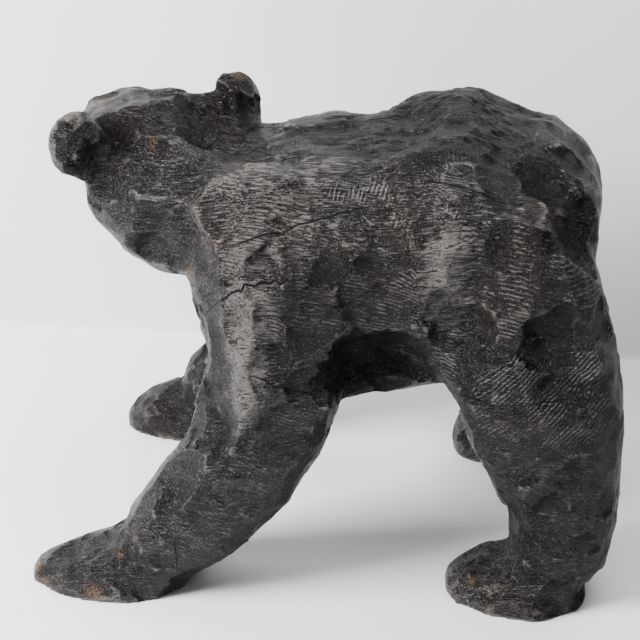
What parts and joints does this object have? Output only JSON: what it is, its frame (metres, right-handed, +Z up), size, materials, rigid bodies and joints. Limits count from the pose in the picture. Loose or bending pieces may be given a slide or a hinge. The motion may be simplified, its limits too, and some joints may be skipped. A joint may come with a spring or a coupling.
{
  "type": "carved wooden bear",
  "caption": "Standing bear hewn from solid timber with a chainsaw and stained near black, its head turned to its right, for standing on a floor, step or garden.",
  "frame": {"origin": "the middle of the base of the bear's bounding box, on the floor between the feet", "axes": "+X the way the bear's body faces, +Y the bear's left side, +Z up"},
  "size_m": [0.6366, 0.397, 0.5169],
  "materials": {
    "stained_wood": "near-black stain with a low sheen, worn to brown on the edges"
  },
  "bodies": {
    "root": {"carved_bear": "stained_wood"}
  },
  "joints": []
}
